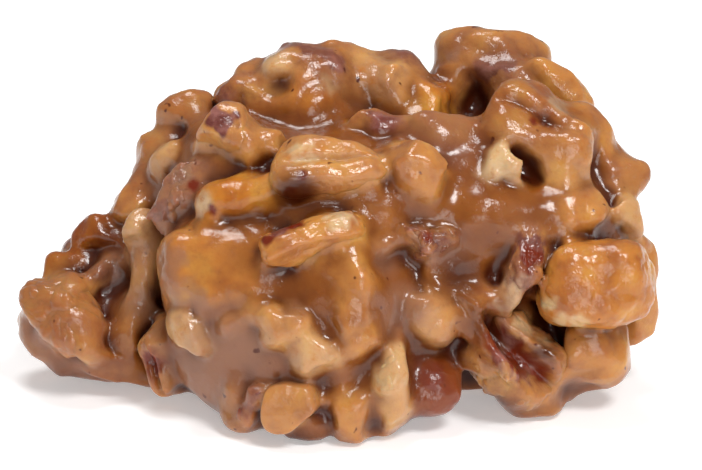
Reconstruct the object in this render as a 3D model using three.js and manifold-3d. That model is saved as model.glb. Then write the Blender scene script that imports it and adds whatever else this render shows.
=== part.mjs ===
// Pecan praline: a mound of set caramel packed with broken pecan kernels, one solid piece.
// Millimetres, +Z up. The origin is on the surface it rests on, under the middle of its box.
// Its front looks along -Y.

import * as THREE from 'three';
import { mergeVertices } from 'three/addons/utils/BufferGeometryUtils.js';
import Module from 'manifold-3d';

// Caramel lumps that make the core: name, middle x y z, half-axes x y z.
const lumpRows = [
  ['mound', 3, 3, 10, 21, 13, 15],
  ['belly', -3, -8, 8.5, 12, 9, 11],
  ['brow', -1, -5, 20, 10, 6.5, 5],
  ['shoulder', -12, 4, 12, 7, 9, 10],
  ['perch', -10.5, -1, 20, 6, 6, 6],
  ['lobe', -22.6, 4, 5.8, 6, 6.8, 6.2],
  ['neck', -18, 5, 5, 6, 7, 6.5],
  ['crownLeft', -3, 6, 20, 10, 8, 7],
  ['crownRight', 12, 9, 18, 8, 8, 8],
  ['bridge', 10, -4, 18, 11, 7, 5.5],
  ['flank', 17.5, -0.5, 12, 8.5, 9.5, 10.5],
  ['block', -11.2, -8, 8.2, 5.8, 5.8, 8.2],
  ['skirt', -2.5, -10.5, 4.5, 9.5, 5.4, 7],
  ['ledge', -10.4, -7, 15.5, 5, 4, 4],
  ['temple', 20, 3.5, 17, 5, 6, 5.5],
  ['throat', -21, 0.5, 7, 4.5, 4.5, 6],
];

// Kernel pieces of the front half: name, middle x y z, how far the broad face turns right from the front
// and tilts up, how far the length turns from level (degrees), then length, width, thickness, and the
// number that draws its breaks.
const kernelRows = [
  ['slab', -2, -9.5, 24, 4, 44, 0, 11, 5.4, 4.8, 1],
  ['sliver', -3.5, -14.5, 19, 4, 40, 14, 10.2, 3.8, 4.6, 2],
  ['skinBits', 7, -11.5, 17.5, 15, 30, -20, 4.6, 3.4, 3.4, 3],
  ['purpleCap', -11, -4.5, 25.5, -14, 34, -18, 6.6, 5.6, 6, 4],
  ['skinShard', -16, -5.5, 19.5, -30, 22, 66, 8, 3.8, 4.5, 5],
  ['honeyKnob', -10, -9, 21, -8, 40, 13, 8.4, 3.8, 4.5, 6],
  ['crownKnob', -4, 4, 26.5, -2, 38, -14, 8.4, 7, 8, 7],
  ['crownTip', -8, 4, 26.5, -30, 40, 40, 6.6, 5.4, 6, 8],
  ['crownRidge', 1.5, 5.5, 27, 6, 38, -12, 8, 6.2, 7, 9],
  ['crownBead', 5, 7, 27.5, 10, 40, 0, 2.8, 2.4, 4, 10],
  ['saddleBit', 1.5, -2, 25.5, 5, 45, 10, 3.2, 2.6, 3.4, 11],
  ['saddleHump', 8, -3, 24.5, 10, 45, -8, 7.5, 5, 5, 12],
  ['amberHump', 6, -9, 24, 10, 45, -32, 6, 4.2, 5, 13],
  ['arch', 13.5, 12, 27.5, 0, 36, -2, 10.6, 4.6, 6.5, 14],
  ['archLeg', 10, 10, 25, -14, 30, 78, 8, 3.6, 5, 15],
  ['archBack', 19, 8, 25.5, 28, 35, -48, 8, 4.4, 6, 16],
  ['archDark', 14, 10, 26, 10, 30, 28, 6, 3.6, 4, 17],
  ['bigCap', 17, -1.5, 25, 12, 36, -34, 10.4, 7.6, 7, 18],
  ['bigCapToe', 19.5, -4.5, 22, 16, 28, 30, 5, 4.2, 5, 19],
  ['capEdge', 22, 1, 23, 40, 32, -58, 7, 4, 5.5, 20],
  ['creamTooth', 13.5, -6.5, 23, 0, 44, 20, 3.6, 2.8, 4, 21],
  ['earlobe', 25, 0, 19.5, 36, 24, 30, 4.6, 4, 5, 22],
  ['tanPlate', 25.5, -4, 17.5, 34, 16, -66, 5, 3.6, 4.5, 23],
  ['amberPlate', 21, -7, 18.5, 18, 32, 4, 5, 4.2, 4, 24],
  ['sideEdge', 26, -2, 13, 50, 10, 80, 5, 3, 4.5, 70],
  ['bigSlab', 22.5, -10.5, 13, 5, 20, 2, 10.6, 8, 7, 25],
  ['skinTooth', 15.5, -10.5, 14.5, 0, 15, 72, 6.8, 3.2, 5, 26],
  ['grooved', 15, -11, 6, 4, 12, -42, 11, 8, 7, 27],
  ['groovedFoot', 16, -9.5, 2, 5, -8, -24, 6.4, 4.6, 7, 28],
  ['underSlab', 22, -9, 6, 8, 0, 86, 6.6, 7, 7, 29],
  ['sideRib', 26.5, -3, 8.5, 60, 5, 85, 9, 3, 5, 30],
  ['footRight', 19.5, -6.5, 2.5, 20, -10, 20, 5.4, 4, 6, 31],
  ['bead', 7.5, -12.5, 10.5, 5, 15, -58, 5.2, 3.4, 5.4, 32],
  ['redBead', 7.5, -13, 4, 5, 0, 40, 5, 4.6, 6, 33],
  ['cheek', 0, -15, 13, 8, 14, -80, 9, 3.8, 5, 34],
  ['knuckleA', -6, -16.5, 11.5, -5, 18, 6, 4, 3.6, 3.8, 35],
  ['knuckleB', -3.5, -17, 9, 0, 12, 34, 4.2, 3.8, 4.2, 36],
  ['shield', -5.5, -17.5, 4, -8, 12, 28, 6, 5.2, 4.5, 37],
  ['frontBlock', 3.5, -15.5, 4, 6, 5, 86, 8.2, 3.8, 6, 38],
  ['frontToe', 0, -16.5, 3, 0, 4, 80, 6, 4.6, 5, 39],
  ['frontHeel', -9.5, -14.5, 3, -14, 4, 70, 5.4, 3.6, 5, 40],
  ['buttress', -12.5, -11, 14.5, -8, 32, 2, 9.8, 6.6, 7, 41],
  ['paleKnuckle', -14.5, -13.5, 9.5, -18, 14, -16, 5, 3.2, 4.4, 42],
  ['leftPost', -17, -8, 5, -25, 6, -70, 7.4, 3.6, 6, 43],
  ['column', -19, -3.5, 11, -36, 10, 86, 10.6, 3.8, 6, 44],
  ['backLump', -15, 4.5, 24, -20, 30, 10, 5.2, 4.6, 7, 45],
  ['sideLumpA', -18, 3, 20.5, -48, 22, 62, 6.2, 4.2, 5.5, 46],
  ['sideLumpB', -19, 2, 17, -58, 18, 70, 6, 4, 5.5, 47],
  ['lobeTop', -23.5, 1, 13.5, -24, 36, 8, 5, 3.6, 6, 48],
  ['lobeKnob', -26.5, 0.5, 10, -34, 30, 22, 4.6, 3.4, 6, 49],
  ['lobeRing', -22.5, -2.5, 10.5, -15, 20, 50, 3.6, 3, 5, 50],
  ['lobeFace', -27, -5, 8, -26, 32, -30, 9.2, 6.4, 7, 51],
  ['lobeToe', -22.5, -4, 3, -15, 0, -12, 9, 4, 7, 52],
  ['lobeBit', -21.5, -4.5, 5, -10, 10, 30, 3.4, 3, 5, 53],
  ['lobeSole', -27.5, -2, 4, -32, -5, -36, 8.4, 4.2, 7, 54],
];

// Hollows between pieces, each an ellipsoid laid out as a kernel piece is.
const hollowRows = [
  ['archHollow', 11.5, 4, 26.5, 0, 25, 62, 6, 4.2, 12],
  ['crownDimple', -7, 1.5, 28.5, -20, 45, 10, 1.8, 1.3, 1.6],
  ['channel', 15, -13.5, 8.5, 5, 10, -42, 8, 1.8, 4],
  ['capCrevice', 16, -6, 23, 0, 35, -48, 4.6, 1.6, 4.4],
  ['slabGap', 17.5, -11, 8.5, -15, 10, -62, 7, 2.8, 9],
  ['sideHole', -17.5, -6, 11.5, -25, 10, 85, 5, 1.8, 7],
  ['lobeCave', -22.5, -5, 11, -15, 15, 60, 4.6, 3, 5],
  ['beadGap', 11, -9, 2, 0, 0, 80, 6.4, 3, 8],
];

// Kernel pieces over the back of a lump: its name, first and last degrees round from the front by the right
// side, rings (degrees up from level, number of pieces), smallest and largest length, thickness.
const backCovers = [
  ['mound', [92, 256], [[-24, 7], [2, 8], [26, 7], [50, 5], [74, 2]], [7.5, 11.5], 5.5],
  ['lobe', [160, 222], [[0, 3], [30, 2]], [4.5, 6.5], 3.6],
];
const backPlace = [0.2, 0.8]; // where in its share of the ring a piece may lie
const backTilt = [-5, 5]; // degrees by which it may lie below or above the ring
const backRoll = [0, 180]; // degrees by which its length may turn from level
const backSlimness = [0.55, 0.75]; // width for each millimetre of length
const backRise = 0.1; // share of the thickness by which a piece's middle stands out of the core's skin
const backSeed = 101; // first number that draws the back pieces' places and breaks

// A broken kernel piece: how square its outline, its section and its breaks' edges are, how high its flat
// broken face is, and the slanting breaks round its edge.
const squareness = { outline: 2.6, section: 2.4, edges: 12 };
const faceHeight = 0.8;
const breaks = { count: 3, spread: 0.3, tilt: 1.2, nearest: 0.72, range: 0.2 };
const drawKeys = { breakTurn: 1, breakTilt: 2, breakReach: 3, backPiece: 4 };

const largePiece = 10.3; // length of a kernel piece, or half-length of a lump, from which it has more sides
const lumpDivisions = { large: 3, small: 1 };
const kernelDivisions = { large: 3, small: 2 };
const baseCut = { side: 200, depth: 40 }; // what is cut away below the surface it rests on
const boxMiddle = [-1.25, 0, 0]; // middle of the layout's box, moved to the origin
const caramel = { color: 0xa06a3c, roughness: 0.3, metalness: 0 };

const wasm = await Module();
wasm.setup();

// A number from 0 to 1 that depends only on the keys.
function draw(a, b, c) {
  const wave = Math.sin(a * 12.9898 + b * 78.233 + c * 37.719) * 43758.5453;
  return wave - Math.floor(wave);
}

function mix(range, share) {
  return range[0] + (range[1] - range[0]) * share;
}

function divisionsFor(length, divisions) {
  return length < largePiece ? divisions.small : divisions.large;
}

// The way a piece faces and runs: its length, its width and its outward side as unit vectors.
function facing(around, up, roll) {
  const [a, u, r] = [around, up, roll].map(THREE.MathUtils.degToRad);
  const out = new THREE.Vector3(Math.sin(a) * Math.cos(u), -Math.cos(a) * Math.cos(u), Math.sin(u));
  const level = new THREE.Vector3(Math.cos(a), Math.sin(a), 0);
  const rise = new THREE.Vector3().crossVectors(out, level);
  const along = level.clone().multiplyScalar(Math.cos(r)).addScaledVector(rise, Math.sin(r));
  const across = new THREE.Vector3().crossVectors(out, along);
  return new THREE.Matrix4().makeBasis(along, across, out);
}

// How far out a point is in a broken kernel piece, 1 on its skin: a soft-cornered box with a flat broken
// face on its outward side and slanting breaks round its edge.
function kernelGauge(point, half, seed) {
  const { outline, section, edges } = squareness;
  const [x, y, z] = [point.x / half.x, point.y / half.y, point.z / half.z];
  const rim = (Math.abs(x) ** outline + Math.abs(y) ** outline) ** (1 / outline);
  const body = (rim ** section + Math.abs(z) ** section) ** (1 / section);
  let sum = body ** edges + Math.max(z / faceHeight, 0) ** edges;
  for (let j = 0; j < breaks.count; j++) {
    const turn = 2 * Math.PI * (j / breaks.count + draw(seed, j, drawKeys.breakTurn) * breaks.spread);
    const tilt = mix([-breaks.tilt / 2, breaks.tilt / 2], draw(seed, j, drawKeys.breakTilt));
    const reach = breaks.nearest + breaks.range * draw(seed, j, drawKeys.breakReach);
    const height = (x * Math.cos(turn) + y * Math.sin(turn)) * Math.cos(tilt) + z * Math.sin(tilt);
    sum += Math.max(height / reach, 0) ** edges;
  }
  return sum ** (1 / edges);
}

function toSolid(geometry) {
  geometry.deleteAttribute('normal');
  geometry.deleteAttribute('uv');
  const merged = mergeVertices(geometry);
  const mesh = new wasm.Mesh({
    numProp: 3,
    vertProperties: merged.attributes.position.array,
    triVerts: new Uint32Array(merged.index.array),
  });
  return new wasm.Manifold(mesh);
}

function kernelSolid(middle, basis, size, seed) {
  const count = divisionsFor(size[0], kernelDivisions);
  const geometry = new THREE.BoxGeometry(1, 1, 1, count, count, count);
  const half = new THREE.Vector3(...size).multiplyScalar(0.5);
  const points = geometry.attributes.position;
  const point = new THREE.Vector3();
  for (let i = 0; i < points.count; i++) {
    point.fromBufferAttribute(points, i).normalize();
    point.divideScalar(kernelGauge(point, half, seed));
    points.setXYZ(i, point.x, point.y, point.z);
  }
  geometry.applyMatrix4(basis);
  geometry.translate(...middle);
  return toSolid(geometry);
}

function lumpSolid([, x, y, z, halfX, halfY, halfZ]) {
  const count = divisionsFor(Math.max(halfX, halfY, halfZ), lumpDivisions);
  const geometry = new THREE.IcosahedronGeometry(1, count);
  geometry.scale(halfX, halfY, halfZ);
  geometry.translate(x, y, z);
  return toSolid(geometry);
}

function hollowSolid([, x, y, z, around, up, roll, length, width, depth]) {
  const geometry = new THREE.IcosahedronGeometry(1, lumpDivisions.small);
  geometry.scale(length / 2, width / 2, depth / 2);
  geometry.applyMatrix4(facing(around, up, roll));
  geometry.translate(x, y, z);
  return toSolid(geometry);
}

// Distance from a place in the core to its skin along a direction: the farthest way out of any lump.
function coreReach(place, direction) {
  const exits = lumpRows.map(([, x, y, z, halfX, halfY, halfZ]) => {
    const half = new THREE.Vector3(halfX, halfY, halfZ);
    const step = direction.clone().divide(half);
    const start = place.clone().sub(new THREE.Vector3(x, y, z)).divide(half);
    const [a, b, c] = [step.dot(step), step.dot(start), start.dot(start) - 1];
    const root = b * b - a * c;
    return root < 0 ? 0 : (-b + Math.sqrt(root)) / a;
  });
  return Math.max(...exits);
}

function frontKernels() {
  return kernelRows.map(([, x, y, z, around, up, roll, length, width, thickness, seed]) =>
    kernelSolid([x, y, z], facing(around, up, roll), [length, width, thickness], seed));
}

// A piece on the core's skin: laid out from a lump's middle in its share of a ring, drawn by its number.
function backKernel(start, [from, to], ringUp, lengths, thickness, seed) {
  const shares = [1, 2, 3, 4, 5].map((key) => draw(seed, key, drawKeys.backPiece));
  const around = mix([from, to], mix(backPlace, shares[0]));
  const up = ringUp + mix(backTilt, shares[1]);
  const length = mix(lengths, shares[2]);
  const width = length * mix(backSlimness, shares[3]);
  const basis = facing(around, up, mix(backRoll, shares[4]));
  const out = new THREE.Vector3().setFromMatrixColumn(basis, 2);
  const middle = start.clone().addScaledVector(out, coreReach(start, out) + backRise * thickness);
  return kernelSolid(middle.toArray(), basis, [length, width, thickness], seed);
}

function backKernels() {
  const solids = [];
  for (const [lump, [from, to], rings, lengths, thickness] of backCovers) {
    const [, x, y, z] = lumpRows.find(([name]) => name === lump);
    const start = new THREE.Vector3(x, y, z);
    for (const [ringUp, count] of rings) {
      const step = (to - from) / count;
      for (let i = 0; i < count; i++) {
        const share = [from + step * i, from + step * (i + 1)];
        solids.push(backKernel(start, share, ringUp, lengths, thickness, backSeed + solids.length));
      }
    }
  }
  return solids;
}

function baseBlock() {
  const geometry = new THREE.BoxGeometry(baseCut.side, baseCut.side, baseCut.depth);
  geometry.translate(0, 0, -baseCut.depth / 2);
  return toSolid(geometry);
}

function praline() {
  const pieces = [...lumpRows.map(lumpSolid), ...frontKernels(), ...backKernels()];
  const packed = pieces.reduce((whole, piece) => whole.add(piece));
  const cuts = [...hollowRows.map(hollowSolid), baseBlock()];
  const solid = cuts.reduce((whole, cut) => whole.subtract(cut), packed);
  const { vertProperties, triVerts } = solid.getMesh();
  const geometry = new THREE.BufferGeometry();
  geometry.setAttribute('position', new THREE.BufferAttribute(vertProperties, 3));
  geometry.setIndex(new THREE.BufferAttribute(triVerts, 1));
  geometry.computeVertexNormals();
  const mesh = new THREE.Mesh(geometry, new THREE.MeshStandardMaterial(caramel));
  mesh.name = 'praline';
  mesh.position.set(...boxMiddle).negate();
  return mesh;
}

const model = new THREE.Group();
model.add(praline());

export default model;
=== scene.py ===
import math

import bpy
import numpy as np
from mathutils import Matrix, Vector


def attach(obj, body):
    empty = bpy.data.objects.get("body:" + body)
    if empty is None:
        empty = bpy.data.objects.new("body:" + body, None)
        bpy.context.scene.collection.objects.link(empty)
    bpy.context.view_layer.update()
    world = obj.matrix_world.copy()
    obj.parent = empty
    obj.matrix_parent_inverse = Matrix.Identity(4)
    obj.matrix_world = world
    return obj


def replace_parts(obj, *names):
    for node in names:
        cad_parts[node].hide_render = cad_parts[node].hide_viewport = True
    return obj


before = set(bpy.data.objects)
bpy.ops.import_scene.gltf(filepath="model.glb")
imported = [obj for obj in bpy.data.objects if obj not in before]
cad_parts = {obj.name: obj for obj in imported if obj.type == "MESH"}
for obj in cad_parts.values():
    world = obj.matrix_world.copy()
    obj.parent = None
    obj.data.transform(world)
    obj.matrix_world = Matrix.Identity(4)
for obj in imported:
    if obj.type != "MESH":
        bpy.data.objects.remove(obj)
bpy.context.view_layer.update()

mm = 0.001

# Where everything sits, in millimetres, as in the part's own layout before its box is centred.
layout = {
    "boxMiddle": (-1.25, 0, 0),
    # caramel lumps of the core: name, middle x y z, half-axes x y z
    "lumps": [
        ["mound", 3, 3, 10, 21, 13, 15],
        ["belly", -3, -8, 8.5, 12, 9, 11],
        ["brow", -1, -5, 20, 10, 6.5, 5],
        ["shoulder", -12, 4, 12, 7, 9, 10],
        ["perch", -10.5, -1, 20, 6, 6, 6],
        ["lobe", -22.6, 4, 5.8, 6, 6.8, 6.2],
        ["neck", -18, 5, 5, 6, 7, 6.5],
        ["crownLeft", -3, 6, 20, 10, 8, 7],
        ["crownRight", 12, 9, 18, 8, 8, 8],
        ["bridge", 10, -4, 18, 11, 7, 5.5],
        ["flank", 17.5, -0.5, 12, 8.5, 9.5, 10.5],
        ["block", -11.2, -8, 8.2, 5.8, 5.8, 8.2],
        ["skirt", -2.5, -10.5, 4.5, 9.5, 5.4, 7],
        ["ledge", -10.4, -7, 15.5, 5, 4, 4],
        ["temple", 20, 3.5, 17, 5, 6, 5.5],
        ["throat", -21, 0.5, 7, 4.5, 4.5, 6],
    ],
    # kernel pieces of the front: name, middle x y z, turn right from the front, tilt up, roll of the length
    # from level (degrees), length, width, thickness, and the number that draws its breaks
    "kernels": [
        ["slab", -2, -9.5, 24, 4, 44, 0, 11, 5.4, 4.8, 1],
        ["sliver", -3.5, -14.5, 19, 4, 40, 14, 10.2, 3.8, 4.6, 2],
        ["skinBits", 7, -11.5, 17.5, 15, 30, -20, 4.6, 3.4, 3.4, 3],
        ["purpleCap", -11, -4.5, 25.5, -14, 34, -18, 6.6, 5.6, 6, 4],
        ["skinShard", -16, -5.5, 19.5, -30, 22, 66, 8, 3.8, 4.5, 5],
        ["honeyKnob", -10, -9, 21, -8, 40, 13, 8.4, 3.8, 4.5, 6],
        ["crownKnob", -4, 4, 26.5, -2, 38, -14, 8.4, 7, 8, 7],
        ["crownTip", -8, 4, 26.5, -30, 40, 40, 6.6, 5.4, 6, 8],
        ["crownRidge", 1.5, 5.5, 27, 6, 38, -12, 8, 6.2, 7, 9],
        ["crownBead", 5, 7, 27.5, 10, 40, 0, 2.8, 2.4, 4, 10],
        ["saddleBit", 1.5, -2, 25.5, 5, 45, 10, 3.2, 2.6, 3.4, 11],
        ["saddleHump", 8, -3, 24.5, 10, 45, -8, 7.5, 5, 5, 12],
        ["amberHump", 6, -9, 24, 10, 45, -32, 6, 4.2, 5, 13],
        ["arch", 13.5, 12, 27.5, 0, 36, -2, 10.6, 4.6, 6.5, 14],
        ["archLeg", 10, 10, 25, -14, 30, 78, 8, 3.6, 5, 15],
        ["archBack", 19, 8, 25.5, 28, 35, -48, 8, 4.4, 6, 16],
        ["archDark", 14, 10, 26, 10, 30, 28, 6, 3.6, 4, 17],
        ["bigCap", 17, -1.5, 25, 12, 36, -34, 10.4, 7.6, 7, 18],
        ["bigCapToe", 19.5, -4.5, 22, 16, 28, 30, 5, 4.2, 5, 19],
        ["capEdge", 22, 1, 23, 40, 32, -58, 7, 4, 5.5, 20],
        ["creamTooth", 13.5, -6.5, 23, 0, 44, 20, 3.6, 2.8, 4, 21],
        ["earlobe", 25, 0, 19.5, 36, 24, 30, 4.6, 4, 5, 22],
        ["tanPlate", 25.5, -4, 17.5, 34, 16, -66, 5, 3.6, 4.5, 23],
        ["amberPlate", 21, -7, 18.5, 18, 32, 4, 5, 4.2, 4, 24],
        ["sideEdge", 26, -2, 13, 50, 10, 80, 5, 3, 4.5, 70],
        ["bigSlab", 22.5, -10.5, 13, 5, 20, 2, 10.6, 8, 7, 25],
        ["skinTooth", 15.5, -10.5, 14.5, 0, 15, 72, 6.8, 3.2, 5, 26],
        ["grooved", 15, -11, 6, 4, 12, -42, 11, 8, 7, 27],
        ["groovedFoot", 16, -9.5, 2, 5, -8, -24, 6.4, 4.6, 7, 28],
        ["underSlab", 22, -9, 6, 8, 0, 86, 6.6, 7, 7, 29],
        ["sideRib", 26.5, -3, 8.5, 60, 5, 85, 9, 3, 5, 30],
        ["footRight", 19.5, -6.5, 2.5, 20, -10, 20, 5.4, 4, 6, 31],
        ["bead", 7.5, -12.5, 10.5, 5, 15, -58, 5.2, 3.4, 5.4, 32],
        ["redBead", 7.5, -13, 4, 5, 0, 40, 5, 4.6, 6, 33],
        ["cheek", 0, -15, 13, 8, 14, -80, 9, 3.8, 5, 34],
        ["knuckleA", -6, -16.5, 11.5, -5, 18, 6, 4, 3.6, 3.8, 35],
        ["knuckleB", -3.5, -17, 9, 0, 12, 34, 4.2, 3.8, 4.2, 36],
        ["shield", -5.5, -17.5, 4, -8, 12, 28, 6, 5.2, 4.5, 37],
        ["frontBlock", 3.5, -15.5, 4, 6, 5, 86, 8.2, 3.8, 6, 38],
        ["frontToe", 0, -16.5, 3, 0, 4, 80, 6, 4.6, 5, 39],
        ["frontHeel", -9.5, -14.5, 3, -14, 4, 70, 5.4, 3.6, 5, 40],
        ["buttress", -12.5, -11, 14.5, -8, 32, 2, 9.8, 6.6, 7, 41],
        ["paleKnuckle", -14.5, -13.5, 9.5, -18, 14, -16, 5, 3.2, 4.4, 42],
        ["leftPost", -17, -8, 5, -25, 6, -70, 7.4, 3.6, 6, 43],
        ["column", -19, -3.5, 11, -36, 10, 86, 10.6, 3.8, 6, 44],
        ["backLump", -15, 4.5, 24, -20, 30, 10, 5.2, 4.6, 7, 45],
        ["sideLumpA", -18, 3, 20.5, -48, 22, 62, 6.2, 4.2, 5.5, 46],
        ["sideLumpB", -19, 2, 17, -58, 18, 70, 6, 4, 5.5, 47],
        ["lobeTop", -23.5, 1, 13.5, -24, 36, 8, 5, 3.6, 6, 48],
        ["lobeKnob", -26.5, 0.5, 10, -34, 30, 22, 4.6, 3.4, 6, 49],
        ["lobeRing", -22.5, -2.5, 10.5, -15, 20, 50, 3.6, 3, 5, 50],
        ["lobeFace", -27, -5, 8, -26, 32, -30, 9.2, 6.4, 7, 51],
        ["lobeToe", -22.5, -4, 3, -15, 0, -12, 9, 4, 7, 52],
        ["lobeBit", -21.5, -4.5, 5, -10, 10, 30, 3.4, 3, 5, 53],
        ["lobeSole", -27.5, -2, 4, -32, -5, -36, 8.4, 4.2, 7, 54],
    ],
    # hollows between pieces, laid out in the same way
    "hollows": [
        ["archHollow", 11.5, 4, 26.5, 0, 25, 62, 6, 4.2, 12],
        ["crownDimple", -7, 1.5, 28.5, -20, 45, 10, 1.8, 1.3, 1.6],
        ["channel", 15, -13.5, 8.5, 5, 10, -42, 8, 1.8, 4],
        ["capCrevice", 16, -6, 23, 0, 35, -48, 3.4, 1.4, 3.6],
        ["slabGap", 17.5, -11, 8.5, -15, 10, -62, 7, 2.8, 9],
        ["sideHole", -17.5, -6, 11.5, -25, 10, 85, 5, 1.8, 7],
        ["lobeCave", -22.5, -5, 11, -15, 15, 60, 4.6, 3, 5],
        ["beadGap", 11, -9, 2, 0, 0, 80, 6.4, 3, 8],
    ],
    # small bits that only show, laid out in the same way
    "bits": [
        ["purpleRim", -8, -5.5, 25.5, 5, 30, -20, 3, 2.4, 3, 201],
        ["crownSkin", -4, 4.5, 29.5, -5, 50, -28, 6.4, 2.4, 3, 202],
        ["crownPale", -6.5, 3.5, 29.5, -15, 42, 30, 2.6, 2.4, 3, 203],
        ["crownStrip", -10.5, 3.5, 27, -30, 40, 40, 3.6, 1.8, 3, 204],
        ["crownGold", 3.5, 3.5, 27.5, 8, 35, 80, 4.2, 3.4, 4, 205],
        ["crownTop", -1.5, 6.5, 29.5, 0, 45, 12, 3.6, 2.4, 4, 206],
        ["saddleSkin", 3, -3, 25.5, 10, 40, -30, 3, 2.2, 2.4, 207],
        ["capBit", 14.5, 1, 26, -20, 30, 60, 3.6, 2.4, 3, 208],
        ["capFold", 20, -4, 24.5, 20, 35, 40, 3.6, 3, 3.5, 210],
        ["toothSide", 15.5, -6.5, 23, 20, 40, 60, 2.6, 1.8, 3, 211],
        ["slabEnd", 25.5, -9, 12.5, 40, 15, 60, 4.4, 3.4, 4, 213],
        ["dripB", 24, -8.5, 4.5, 20, 0, 80, 4, 2.4, 4, 215],
        ["toothTip", 15, -11.5, 12.5, 0, 12, 76, 2.8, 1.8, 3, 216],
        ["crumbRed", 14, -14.5, 6.5, 0, 15, -52, 3.4, 1.5, 2.2, 217],
        ["ridgeTwo", 13, -13.5, 7.5, 0, 12, -46, 5.6, 1.7, 2.6, 218],
        ["nubA", -10.5, -14.5, 11, -8, 20, 0, 1.8, 1.5, 2, 219],
        ["nubB", -9, -15, 12, -8, 20, 20, 1.5, 1.4, 2, 220],
        ["shieldTwo", -4, -16, 1.5, 4, 0, 24, 4.4, 2.8, 4, 221],
        ["heelA", -9, -17, 4.5, -14, 10, 80, 2.4, 1.8, 2, 222],
        ["heelB", -9.5, -16.5, 2.5, -10, 0, 70, 2.2, 1.7, 2, 223],
        ["blockGold", 3.5, -17, 7, 8, 20, 70, 4, 2.6, 3, 224],
        ["postRing", -18, -9, 7, -30, 10, 60, 3, 1.8, 3, 225],
        ["columnTop", -19.5, -4, 16, -38, 20, 70, 3.6, 2.2, 4, 226],
        ["columnFoot", -20.5, -5, 6.5, -20, 10, 70, 3.2, 2.4, 4, 227],
        ["sideYellow", -17, 0, 21.5, -35, 30, 60, 3, 2.2, 3, 228],
        ["sideLow", -20.5, 0.5, 16.5, -55, 15, 70, 3.4, 2.6, 4, 229],
        ["lobeRidge", -25, -7, 6, -22, 20, -38, 5, 1.8, 3, 230],
        ["lobePeak", -25, -4, 10, -28, 40, 10, 4, 2.2, 3, 231],
        ["webBit", 9, -10.5, 15, 0, 45, 20, 4.4, 1.6, 2, 232],
        ["beadWall", 11, -11.5, 11.5, 0, 25, -40, 6.5, 4.5, 4, 233],
        ["skinBitB", 8.5, -11.5, 17.5, 0, 30, 40, 2.6, 1.8, 2.4, 234],
        ["crownNub", 5, 7.5, 28.5, 5, 45, 0, 2, 1.9, 2.2, 235],
        ["slope", 1.4, -11, 18, 4, 42, 10, 4.4, 4.6, 2.4, 236],
    ],
    # kernel pieces over the back of a lump: degrees round from the front by the right side, rings (degrees
    # up from level, number of pieces), shortest and longest length, thickness
    "backCover": [
        ["mound", (92, 256), [(-24, 7), (2, 8), (26, 7), (50, 5), (74, 2)], (7.5, 11.5), 5.5],
        ["lobe", (160, 222), [(0, 3), (30, 2)], (4.5, 6.5), 3.6],
    ],
    "backSlimness": (0.55, 0.75),  # width for each millimetre of length
    "backRise": 0.1,  # share of the thickness that a piece's middle stands out of the core
    "backScatter": (0.2, 0.6, 10),  # first place and free share of each step round, degrees up and down
    "backSeed": 101,
}

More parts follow.
